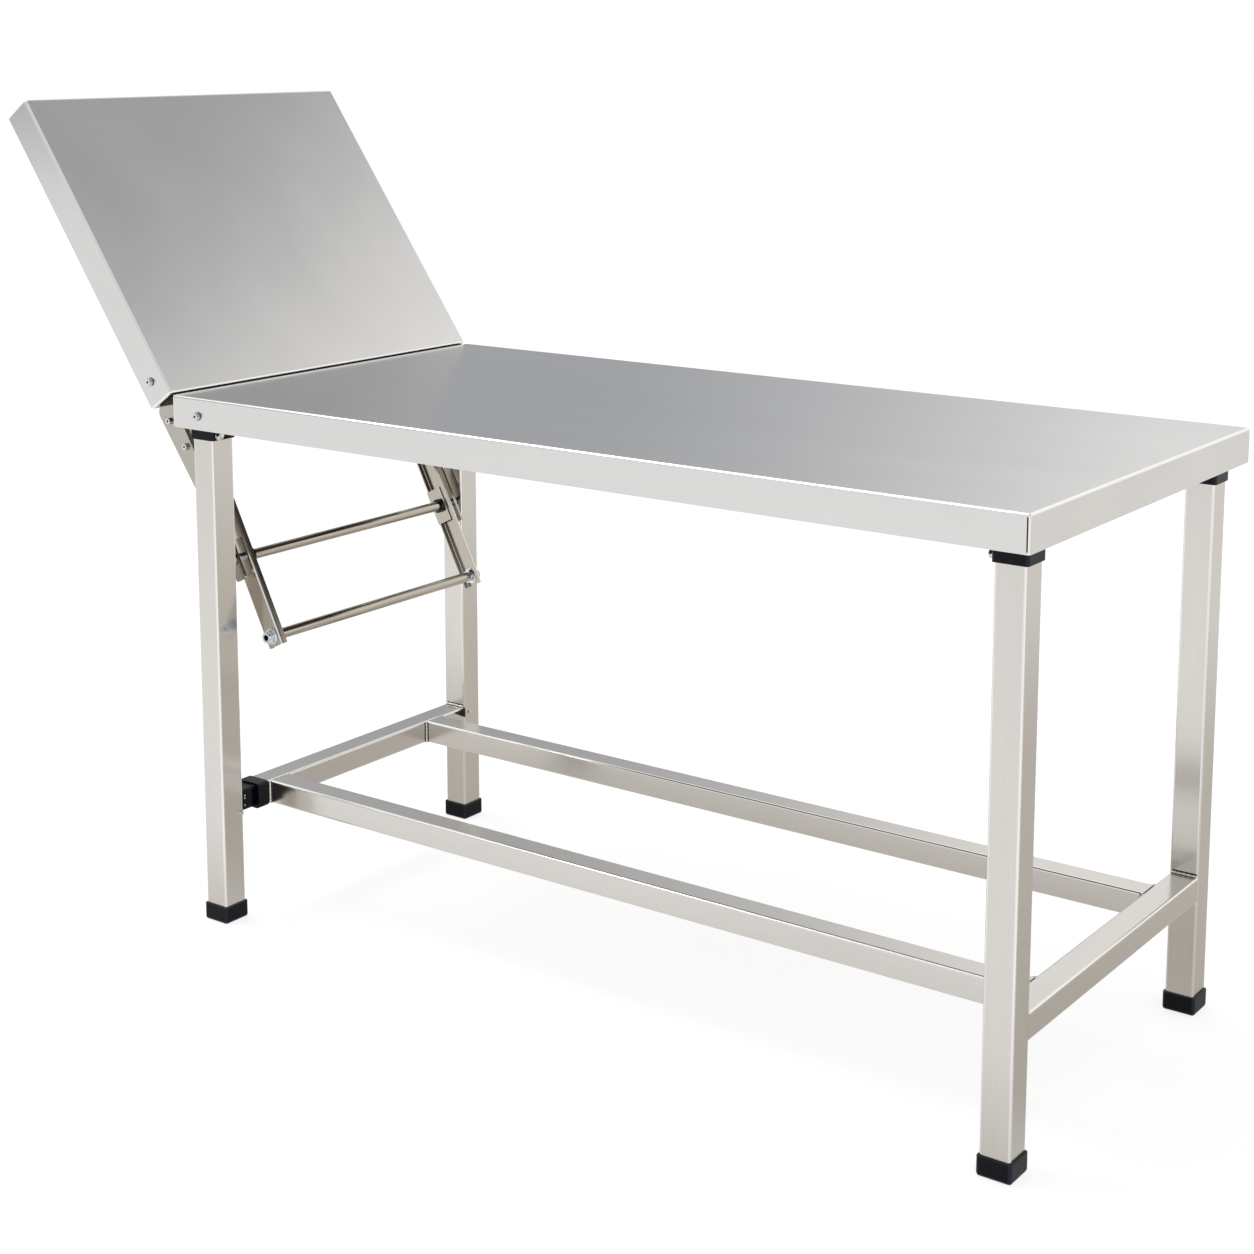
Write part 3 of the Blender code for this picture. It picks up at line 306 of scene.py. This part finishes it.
def brushed_stainless(name, steel, along, lean=0.0, tray=False):
    """Stainless steel sheet or tube, dull polished with a belt: fine scratches run along one axis.

    The eye sees a satin metal that smears its reflections across the scratches, with faint lighter and
    darker streaks and broad clouds where the belt pressed more or less. Corners and folds get a painted
    highlight, a near white colour that shows as light lines, but not on cut plates, whose lean is None.
    The underside of a tray is left rougher, as the dull skin of the rolling mill that nobody polishes, and
    gets a dark colour as painted shade for the shadow under the table.
    """
    made, tree, place = new_material(name)
    tones, roughness, spacing, bump = steel
    per_metre = 1000.0 / spacing
    stretch = [per_metre, per_metre, per_metre]
    stretch["XYZ".index(along)] = per_metre / SCRATCH_STRETCH
    scratches = add_node(tree, "ShaderNodeMapping", inputs={"Scale": stretch}, links={"Vector": place})
    fine = add_node(tree, "ShaderNodeTexNoise", inputs={"Scale": 1.0, "Detail": 3.0, "Roughness": 0.6},
                    links={"Vector": scratches.outputs["Vector"]})
    cloud_stretch = [CLOUDS_ACROSS, CLOUDS_ACROSS, CLOUDS_ACROSS]
    cloud_stretch["XYZ".index(along)] = CLOUDS_ALONG
    bands = add_node(tree, "ShaderNodeMapping", inputs={"Scale": cloud_stretch}, links={"Vector": place})
    clouds = add_node(tree, "ShaderNodeTexNoise", inputs={"Scale": 1.0, "Detail": 4.0, "Roughness": 0.5},
                      links={"Vector": bands.outputs["Vector"]})
    pattern = add_node(tree, "ShaderNodeMix", settings={"data_type": "FLOAT"}, inputs={"Factor": 0.4},
                       links={"A": fine.outputs["Fac"], "B": clouds.outputs["Fac"]})
    tone, rough = toned(tree, pattern.outputs["Result"], tones, roughness)
    if lean is not None:
        # Painted highlight: corners and folds turn near white, so they show as light lines
        tone = mix_colours(tree, corner_mask(tree, lean), tone, STEEL_CORNER_PAINTED_HIGHLIGHT)
    if tray:
        # Painted shade: tray undersides turn dark for the shadow under the table, and rougher as mill skin
        under = underside_mask(tree, lean)
        tone = mix_colours(tree, under, tone, TRAY_UNDERSIDE_PAINTED_SHADE)
        rough = add_node(tree, "ShaderNodeMix", settings={"data_type": "FLOAT"},
                         inputs={"B": TRAY_UNDERSIDE_ROUGHNESS},
                         links={"Factor": under, "A": rough}).outputs["Result"]
    finish_surface(tree, tone, rough, {"Metallic": 1.0}, (fine.outputs["Fac"], bump, BRUSH_DEPTH))
    return made


def polished_rod(name, fitting_colour):
    """Bright drawn stainless bar, buffed: it mirrors the room in long stripes, with faint die lines.

    Near each end of the cross axis its nuts or collars begin, with a colour of their own.
    """
    made, tree, place = new_material(name)
    lines = add_node(tree, "ShaderNodeMapping",
                     inputs={"Scale": (DIE_LINES_ROUND, DIE_LINES_ALONG, DIE_LINES_ROUND)},
                     links={"Vector": place})
    noise = add_node(tree, "ShaderNodeTexNoise", inputs={"Scale": 1.0, "Detail": 2.0},
                     links={"Vector": lines.outputs["Vector"]})
    tone, rough = toned(tree, noise.outputs["Fac"], ROD_TONES, ROD_ROUGHNESS)
    parts = add_node(tree, "ShaderNodeSeparateXYZ", links={"Vector": place})
    out = add_node(tree, "ShaderNodeMath", settings={"operation": "ABSOLUTE"}, links={0: parts.outputs["Y"]})
    fitting = add_node(tree, "ShaderNodeMath", settings={"operation": "GREATER_THAN"},
                       inputs={1: ROD_FITTING_START}, links={0: out.outputs["Value"]})
    tone = mix_colours(tree, fitting.outputs["Value"], tone, fitting_colour)
    finish_surface(tree, tone, rough, {"Metallic": 1.0})
    return made


def zinc_plate(name, head=None):
    """Bright zinc plating over cold headed steel: silvery, fairly shiny, slightly uneven.

    A head, given by its axis' x and z and its radius, also gets painted shade: the dark hollow of its
    socket, and a dark painted shadow line under its rim.
    """
    made, tree, place = new_material(name)
    noise = add_node(tree, "ShaderNodeTexNoise", inputs={"Scale": ZINC_MOTTLE, "Detail": 3.0},
                     links={"Vector": place})
    tone, rough = toned(tree, noise.outputs["Fac"], ZINC_TONES, ZINC_ROUGHNESS)
    if head:
        x, z, head_radius = head
        across = add_node(tree, "ShaderNodeVectorMath", settings={"operation": "MULTIPLY_ADD"},
                          inputs={1: (1.0, 0.0, 1.0), 2: (-x, 0.0, -z)}, links={0: place})
        radius = add_node(tree, "ShaderNodeVectorMath", settings={"operation": "LENGTH"},
                          links={0: across.outputs["Vector"]})
        rings = add_node(tree, "ShaderNodeMapRange", inputs={"From Max": RING_REACH},
                         links={"Value": radius.outputs["Value"]})
        socket = SOCKET_RADIUS / RING_REACH
        rim = head_radius / RING_REACH
        # Painted shade: dark in the socket's hollow and in a painted shadow line under the rim
        dark = add_node(tree, "ShaderNodeValToRGB", links={"Fac": rings.outputs["Result"]},
                        stops=[(socket * SOCKET_FADE[0], WHITE), (socket * SOCKET_FADE[1], BLACK),
                               (rim * RIM_FADE[0], BLACK),
                               (rim * RIM_FADE[1], (RIM_PAINTED_SHADE, RIM_PAINTED_SHADE, RIM_PAINTED_SHADE, 1.0))])
        tone = mix_colours(tree, dark.outputs["Color"], tone, SOCKET_AND_RIM_SHADE_COLOUR)
    finish_surface(tree, tone, rough, {"Metallic": 1.0}, (noise.outputs["Fac"], 0.2, ZINC_DEPTH))
    return made


def black_nylon():
    """Injection moulded nylon, black with a cold cast: a fine spark eroded grain breaks up its sheen.

    Its corners get a painted highlight, a little lighter.
    """
    made, tree, place = new_material("moulded_black_nylon")
    grain = add_node(tree, "ShaderNodeTexNoise", inputs={"Scale": 1000.0 / MOULD_GRAIN, "Detail": 2.0},
                     links={"Vector": place})
    smudge = add_node(tree, "ShaderNodeTexNoise", inputs={"Scale": NYLON_SMUDGES, "Detail": 3.0},
                      links={"Vector": place})
    tone, rough = toned(tree, smudge.outputs["Fac"], NYLON_TONES, NYLON_ROUGHNESS)
    # Painted highlight: corners turn a little lighter
    tone = mix_colours(tree, corner_mask(tree), tone, NYLON_CORNER_PAINTED_HIGHLIGHT)
    finish_surface(tree, tone, rough, {"IOR": 1.53, "Specular IOR Level": 0.16},
                   (grain.outputs["Fac"], 0.25, MOULD_DEPTH))
    return made


def blackened_steel_and_gap_shade():
    """Hot blackened steel strip: nearly black, with a faint oily sheen that wears thin in patches.
    On the hinge its black is painted shade, for the shadow in the gap between the top and the backrest.
    """
    made, tree, place = new_material("blackened_steel_and_gap_shade")
    noise = add_node(tree, "ShaderNodeTexNoise", inputs={"Scale": OIL_PATCHES, "Detail": 4.0},
                     links={"Vector": place})
    tone, rough = toned(tree, noise.outputs["Fac"], BLACKENED_AND_GAP_SHADE_TONES, BLACKENED_ROUGHNESS)
    finish_surface(tree, tone, rough, {"Metallic": 0.8})
    return made


def weld_metal():
    """Bare stainless weld: bright and glassy on its ripples, with a straw cast where it cooled last."""
    made, tree, place = new_material("bare_stainless_weld")
    noise = add_node(tree, "ShaderNodeTexNoise", inputs={"Scale": WELD_MOTTLE, "Detail": 3.0},
                     links={"Vector": place})
    tone, rough = toned(tree, noise.outputs["Fac"], WELD_TONES, WELD_ROUGHNESS)
    finish_surface(tree, tone, rough, {"Metallic": 1.0})
    return made


def dress(finish, *starts):
    """Gives a finish to the CAD nodes whose names begin in one of these ways."""
    for name, obj in NODES.items():
        if name.startswith(starts):
            for slot in obj.material_slots:
                slot.material = finish


def dress_trays():
    """Polished sheet on the top and the backrest. The tubes inside them keep the mill's dull skin, with
    darker tones as painted shade under the top.
    """
    dress(brushed_stainless("belt_polished_sheet", SHEET, "X", 0.0, True), "main_top")
    dress(brushed_stainless("belt_polished_sheet_backrest", SHEET, "X", -BACKREST_LEAN, True),
          "backrest_panel")
    # Rails under the top: dull mill skin, darker as painted shade
    dress(brushed_stainless("mill_tube_painted_shade", MILL_TUBE_WITH_PAINTED_SHADE, "X"), "top_side_rail", "top_cross_rail")
    dress(brushed_stainless("mill_tube_painted_shade_backrest", MILL_TUBE_WITH_PAINTED_SHADE, "X", -BACKREST_LEAN), "backrest_rail",
          "backrest_cross_rail")


def dress_frame(nylon):
    """Polished tubes, each brushed along its own length, and black plastic on their ends."""
    dress(brushed_stainless("belt_polished_tube_long", TUBE, "X"), "stretcher")
    dress(brushed_stainless("belt_polished_tube_cross", TUBE, "Y"), "crossbar_head", "crossbar_foot")
    dress(brushed_stainless("belt_polished_tube_upright", TUBE, "Z"), "leg_near", "leg_far")
    dress(nylon, "leg_collar", "foot_cap", "crossbar_joint")


def dress_linkage(zinc, blackened_and_gap_shade):
    """Plates, channels, rods and hinge, and the bolts, whose heads are marked with painted shade round their
    own axes.
    """
    dress(brushed_stainless("cut_stainless_plate", PLATE, "X", None), "main_corner_bracket",
          "back_corner_bracket", "backrest_gusset", "support_arm", "stay_bracket")
    dress(brushed_stainless("folded_stainless_channel", CHANNEL, "Z", STAY_LEAN), "stay_bar", "stay_sleeve")
    # Painted shade: the hinge is dressed nearly black, for the shadow in the gap between top and backrest
    dress(blackened_and_gap_shade, "hinge_leaf", "hinge_pin")
    dress(polished_rod("drawn_rod_with_collars", COLLAR_COLOUR), "upper_cross_rod")
    dress(polished_rod("drawn_rod_with_nuts", NUT_COLOUR), "lower_cross_rod")
    dress(zinc, "stay_pivot_bolt")
    for kind, number in (("main_corner_bolt", ""), ("back_corner_bolt", ""), ("arm_bolt", "_1"),
                         ("arm_bolt", "_2"), ("sleeve_pivot_bolt", "")):
        low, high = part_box(f"{kind}_near{number}")
        head = ((low.x + high.x) / 2, (low.z + high.z) / 2, (high.x - low.x) / 2)
        dress(zinc_plate(f"socket_head_{kind}{number}", head), f"{kind}_near{number}", f"{kind}_far{number}")


# Small fittings

def finish_piece(name, bm, finish, body, smooth=35):
    """Turns bm into an object of a body, smooth except where faces meet at more than smooth degrees."""
    bmesh.ops.remove_doubles(bm, verts=bm.verts, dist=1e-6)
    bmesh.ops.recalc_face_normals(bm, faces=bm.faces)
    mesh = bpy.data.meshes.new(name)
    bm.to_mesh(mesh)
    bm.free()
    mesh.shade_smooth()
    mesh.set_sharp_from_angle(angle=math.radians(smooth))
    mesh.materials.append(finish)
    made = bpy.data.objects.new(name, mesh)
    bpy.context.collection.objects.link(made)
    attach(made, body)


def round_edges(bm, edges, offset):
    """Rounds edges in two steps, and returns what that made."""
    return bmesh.ops.bevel(bm, geom=edges, offset=offset, segments=2, profile=0.5, affect="EDGES",
                           clamp_overlap=True, material=-1)


def disc(bm, radius, depth, segments, place, turn):
    """A closed round or hexagonal plate whose base stands at place, with its top edge bevelled."""
    made = bmesh.ops.create_cone(bm, cap_ends=True, segments=segments, radius1=radius, radius2=radius,
                                 depth=depth)
    bmesh.ops.translate(bm, vec=(0.0, 0.0, depth / 2), verts=made["verts"])
    own = set(made["verts"])
    top = [edge for edge in bm.edges if all(vert in own and vert.co.z > depth * 0.9 for vert in edge.verts)]
    bevelled = round_edges(bm, top, depth * HEAD_BEVEL)
    verts = {vert for vert in made["verts"] if vert.is_valid} | set(bevelled["verts"])
    bmesh.ops.transform(bm, matrix=Matrix.Translation(place) @ turn, verts=list(verts))


def strip(bm, centre, size, corner):
    """A thin plate of a size round centre, with its edges rounded."""
    made = bmesh.ops.create_cube(bm, size=1.0)
    bmesh.ops.scale(bm, vec=size, verts=made["verts"])
    bmesh.ops.translate(bm, vec=centre, verts=made["verts"])
    round_edges(bm, list({edge for vert in made["verts"] for edge in vert.link_edges}), corner)


def collar_bolts(finish):
    """A hex bolt with its washer on the inward face of each collar."""
    for end, direction in (("head", 1), ("foot", -1)):
        for side in ("near", "far"):
            low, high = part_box(f"leg_collar_{side}_{end}")
            face = high.x if direction > 0 else low.x
            across = low.y + COLLAR_BOLT_INSET if side == "near" else high.y - COLLAR_BOLT_INSET
            centre = Vector((face + direction * GAP, across, low.z + COLLAR_BOLT_RISE))
            turn = Matrix.Rotation(direction * math.pi / 2, 4, "Y")
            bm = bmesh.new()
            disc(bm, COLLAR_WASHER_RADIUS, COLLAR_WASHER_HEIGHT, 32, centre, turn)
            head = centre + Vector((direction * COLLAR_WASHER_HEIGHT, 0.0, 0.0))
            disc(bm, COLLAR_BOLT_RADIUS, COLLAR_BOLT_LENGTH, 6, head, turn)
            finish_piece(f"collar_bolt_{side}_{end}", bm, finish, "table_frame")


def weld(name, start, end, sides, bead_finish, dark_band_finish):
    """A rippled bead along an inner corner, and a dark band on each of the two faces beside it.

    The sides are the two directions out of the corner, one along each face.
    """
    start, end = Vector(start), Vector(end)
    sides = [Vector(side) for side in sides]
    along = end - start
    count = max(2, round(along.length / WELD_STEP))
    bm = bmesh.new()
    for number in range(count + 1):
        place = start + along * (number / count) + (sides[0] + sides[1]) * WELD_RADIUS * WELD_SHIFT
        ripple = 1.0 + WELD_RIPPLE * math.sin(number * WELD_RIPPLE_TURN)
        lump = bmesh.ops.create_icosphere(bm, subdivisions=2, radius=WELD_RADIUS * ripple)
        bmesh.ops.translate(bm, vec=place, verts=lump["verts"])
    finish_piece(f"weld_bead_{name}", bm, bead_finish, "table_frame", 60)
    bm = bmesh.new()
    direction = along.normalized()
    # A dark band on each face along the bead
    for side, other in (sides, reversed(sides)):
        centre = (start + end) / 2 + side * DARK_BAND_WIDTH / 2 + other * (DARK_BAND_HEIGHT / 2 + DARK_BAND_LIFT)
        size = [abs(direction[axis]) * (along.length + WELD_RADIUS) + abs(side[axis]) * DARK_BAND_WIDTH
                + abs(other[axis]) * DARK_BAND_HEIGHT for axis in range(3)]
        strip(bm, centre, size, DARK_BAND_HEIGHT * DARK_BAND_ROUNDING)
    finish_piece(f"weld_dark_band_{name}", bm, dark_band_finish, "table_frame")


def frame_welds(bead_finish, dark_band_finish):
    """The welds of the low frame: crossbars on the legs, and stretchers on the crossbars."""
    for end, leg_end in (("far", "head"), ("near", "foot"), ("far", "foot")):
        low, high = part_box(f"crossbar_{leg_end}")
        inward = -1.0 if end == "far" else 1.0
        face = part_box(f"leg_{end}_{leg_end}")[0 if end == "far" else 1].y
        weld(f"crossbar_{end}_{leg_end}", (low.x + WELD_BAR_END, face, high.z),
             (high.x - WELD_BAR_END, face, high.z), ((0.0, inward, 0.0), (0.0, 0.0, 1.0)),
             bead_finish, dark_band_finish)
    for bar in ("near", "far"):
        low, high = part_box(f"stretcher_{bar}")
        for end, face, inward in (("head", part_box("crossbar_head")[1].x, 1.0),
                                  ("foot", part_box("crossbar_foot")[0].x, -1.0)):
            for side, edge, outward in (("outer", high.y, 1.0), ("inner", low.y, -1.0)):
                weld(f"stretcher_{bar}_{end}_{side}", (face, edge, low.z + WELD_CORNER_END),
                     (face, edge, high.z - WELD_CORNER_END), ((inward, 0.0, 0.0), (0.0, outward, 0.0)),
                     bead_finish, dark_band_finish)


def screw(name, place, radius, finish):
    """A small round head that stands on a face towards the foot end."""
    bm = bmesh.new()
    disc(bm, radius, radius * SCREW_HEIGHT, 24, Vector(place), Matrix.Rotation(math.pi / 2, 4, "Y"))
    finish_piece(name, bm, finish, "table_frame")


def joint_fittings(zinc, nylon):
    """The screws at the head crossbar's two ends, and the black wedge that shows at the far one."""
    near_low, near_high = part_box("leg_near_head")
    far_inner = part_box("leg_far_head")[0].y
    joint_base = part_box("crossbar_joint")[0].z
    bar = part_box("crossbar_head")[1]
    screw("joint_screw_leg", (near_high.x, near_high.y - LEG_SCREW_INSET, joint_base + LEG_SCREW_RISE),
          LEG_SCREW_RADIUS, zinc)
    stem_face = (near_low.x + near_high.x) / 2 + STEM_HALF_WIDTH
    for number, rise in enumerate(STEM_SCREW_RISES, 1):
        screw(f"joint_screw_{number}", (stem_face, near_high.y + STEM_SCREW_OFFSET, joint_base + rise),
              STEM_SCREW_RADIUS, zinc)
    screw("far_joint_screw", (near_high.x, far_inner + FAR_SCREW_INSET, bar.z - FAR_SCREW_DROP),
          FAR_SCREW_RADIUS, zinc)
    bm = bmesh.new()
    wedge = bm.faces.new([bm.verts.new((bar.x + WEDGE_LIFT, far_inner - out, bar.z - drop))
                          for out, drop in WEDGE_CORNERS])
    grown = bmesh.ops.extrude_face_region(bm, geom=[wedge])
    bmesh.ops.translate(bm, vec=(WEDGE_DEPTH, 0.0, 0.0),
                        verts=[item for item in grown["geom"] if isinstance(item, bmesh.types.BMVert)])
    round_edges(bm, list(bm.edges), WEDGE_ROUNDING)
    finish_piece("far_joint_wedge", bm, nylon, "table_frame")


def corner_seams(finish):
    """The open seam where the top's side flanges meet its foot flange, beside each corner."""
    low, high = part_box("main_top")
    height = high.z - low.z - SEAM_BELOW - SEAM_ABOVE
    for side, face in (("near", low.y - SEAM_LIFT), ("far", high.y + SEAM_LIFT)):
        bm = bmesh.new()
        strip(bm, (high.x - SEAM_INSET, face, low.z + SEAM_BELOW + height / 2),
              (SEAM_WIDTH, SEAM_THICKNESS, height), SEAM_ROUNDING)
        finish_piece(f"corner_seam_{side}", bm, finish, "table_frame")


# Stage

def studio_floor():
    """White seamless paper: the camera sees it white, and only the contact shadow darkens it.

    The steel mirrors it too. Under and just behind the table lies a sand coloured mat, which the camera
    sees white as well, and which is what tells the sides of a tube apart.
    """
    bm = bmesh.new()
    bmesh.ops.create_grid(bm, x_segments=1, y_segments=1, size=FLOOR_SIZE / 2)
    mesh = bpy.data.meshes.new("studio_floor")
    bm.to_mesh(mesh)
    bm.free()
    made = bpy.data.objects.new("studio_floor", mesh)
    bpy.context.collection.objects.link(made)
    paper, tree, place = new_material("white_seamless_paper")
    parts = add_node(tree, "ShaderNodeSeparateXYZ", links={"Vector": place})
    depth = add_node(tree, "ShaderNodeMapRange", inputs={"From Min": MAT_NEAR, "From Max": MAT_FAR},
                     links={"Value": parts.outputs["Y"]})
    mat = add_node(tree, "ShaderNodeValToRGB", links={"Fac": depth.outputs["Result"]},
                   stops=[(share, linear(shade)) for share, shade in MAT_SHADES])
    paths = add_node(tree, "ShaderNodeLightPath")
    glossy = paths.outputs["Is Glossy Ray"]
    colour = add_node(tree, "ShaderNodeMix", settings={"data_type": "RGBA"}, inputs={"A": WHITE},
                      links={"Factor": glossy, "B": mat.outputs["Color"]})
    lit = add_node(tree, "ShaderNodeMix", settings={"data_type": "RGBA", "blend_type": "MULTIPLY"},
                   inputs={"Factor": 1.0, "A": linear(FLOOR_GREY)}, links={"B": colour.outputs["Result"]})
    matt = add_node(tree, "ShaderNodeBsdfDiffuse", links={"Color": lit.outputs["Result"]})
    seen = add_node(tree, "ShaderNodeMath", settings={"operation": "MAXIMUM"},
                    links={0: paths.outputs["Is Camera Ray"], 1: paths.outputs["Is Transmission Ray"]})
    strength = add_node(tree, "ShaderNodeMapRange",
                        inputs={"To Min": FLOOR_GLOW_MIRRORED, "To Max": FLOOR_GLOW_SEEN},
                        links={"Value": seen.outputs["Value"]})
    glow = add_node(tree, "ShaderNodeEmission",
                    links={"Color": colour.outputs["Result"], "Strength": strength.outputs["Result"]})
    added = add_node(tree, "ShaderNodeAddShader",
                     links={0: matt.outputs["BSDF"], 1: glow.outputs["Emission"]})
    shown = add_node(tree, "ShaderNodeMath", settings={"operation": "MAXIMUM"},
                     links={0: seen.outputs["Value"], 1: glossy})
    mixed = add_node(tree, "ShaderNodeMixShader",
                     links={0: shown.outputs["Value"], 1: matt.outputs["BSDF"], 2: added.outputs["Shader"]})
    add_node(tree, "ShaderNodeOutputMaterial", links={"Surface": mixed.outputs["Shader"]})
    mesh.materials.append(paper)


def world_light():
    """A white room that lights the table, with soft grey patches for the steel to mirror.

    The camera sees it white all over. The patches grade the top from grey at its hinge end to nearly
    white at its foot end, the backrest from grey above to white below, and tell the other faces apart.
    """
    world = bpy.data.worlds.new("studio")
    bpy.context.scene.world = world
    world.use_nodes = True
    tree = world.node_tree
    tree.nodes.clear()
    direction = add_node(tree, "ShaderNodeTexCoord").outputs["Generated"]
    paths = add_node(tree, "ShaderNodeLightPath")
    room = add_node(tree, "ShaderNodeRGB").outputs["Color"]
    room.default_value = linear(ROOM_COLOUR)
    for aim, edge, middle, grey in ROOM_PATCHES:
        cosine = add_node(tree, "ShaderNodeVectorMath", settings={"operation": "DOT_PRODUCT"},
                          inputs={1: Vector(aim).normalized()}, links={0: direction})
        near = add_node(tree, "ShaderNodeMapRange", inputs={"From Min": edge, "From Max": middle},
                        links={"Value": cosine.outputs["Value"]})
        room = mix_colours(tree, near.outputs["Result"], room, grey)
    seen = mix_colours(tree, paths.outputs["Is Camera Ray"], room, "#FFFFFF")
    back = add_node(tree, "ShaderNodeBackground", links={"Color": seen})
    add_node(tree, "ShaderNodeOutputWorld", links={"Surface": back.outputs["Background"]})


def overhead_softbox():
    """One large soft lamp above the head end, which gives the floor its faint shadow."""
    lamp = bpy.data.lights.new("overhead_softbox", "AREA")
    lamp.shape = "RECTANGLE"
    lamp.size = LAMP_SIZE
    lamp.size_y = LAMP_SIZE
    lamp.energy = LAMP_POWER
    lamp.color = linear(LAMP_COLOUR)[:3]
    made = bpy.data.objects.new("overhead_softbox", lamp)
    made.location = LAMP_PLACE
    made.rotation_euler = (Vector(LAMP_TARGET) - Vector(LAMP_PLACE)).to_track_quat("-Z", "Y").to_euler()
    bpy.context.collection.objects.link(made)


def photo_camera():
    """The photograph's camera: it looks slightly down, with its picture shifted down as well."""
    lens = bpy.data.cameras.new("photo_camera")
    lens.sensor_width = SENSOR
    lens.lens = CAMERA_LENS
    lens.shift_y = CAMERA_SHIFT
    lens.clip_end = CAMERA_REACH
    made = bpy.data.objects.new("photo_camera", lens)
    made.location = CAMERA_PLACE
    made.rotation_euler = (math.pi / 2 - CAMERA_PITCH, 0.0, CAMERA_YAW)
    bpy.context.collection.objects.link(made)
    bpy.context.scene.camera = made


def build():
    """Dresses the CAD nodes, adds the small fittings, and sets the stage."""
    zinc = zinc_plate("bright_zinc_plating")
    nylon = black_nylon()
    blackened_and_gap_shade = blackened_steel_and_gap_shade()
    dress_trays()
    dress_frame(nylon)
    dress_linkage(zinc, blackened_and_gap_shade)
    collar_bolts(zinc)
    frame_welds(weld_metal(), blackened_and_gap_shade)
    joint_fittings(zinc, nylon)
    corner_seams(blackened_and_gap_shade)
    studio_floor()
    world_light()
    overhead_softbox()
    photo_camera()
    bpy.context.scene.view_settings.view_transform = "Standard"


build()
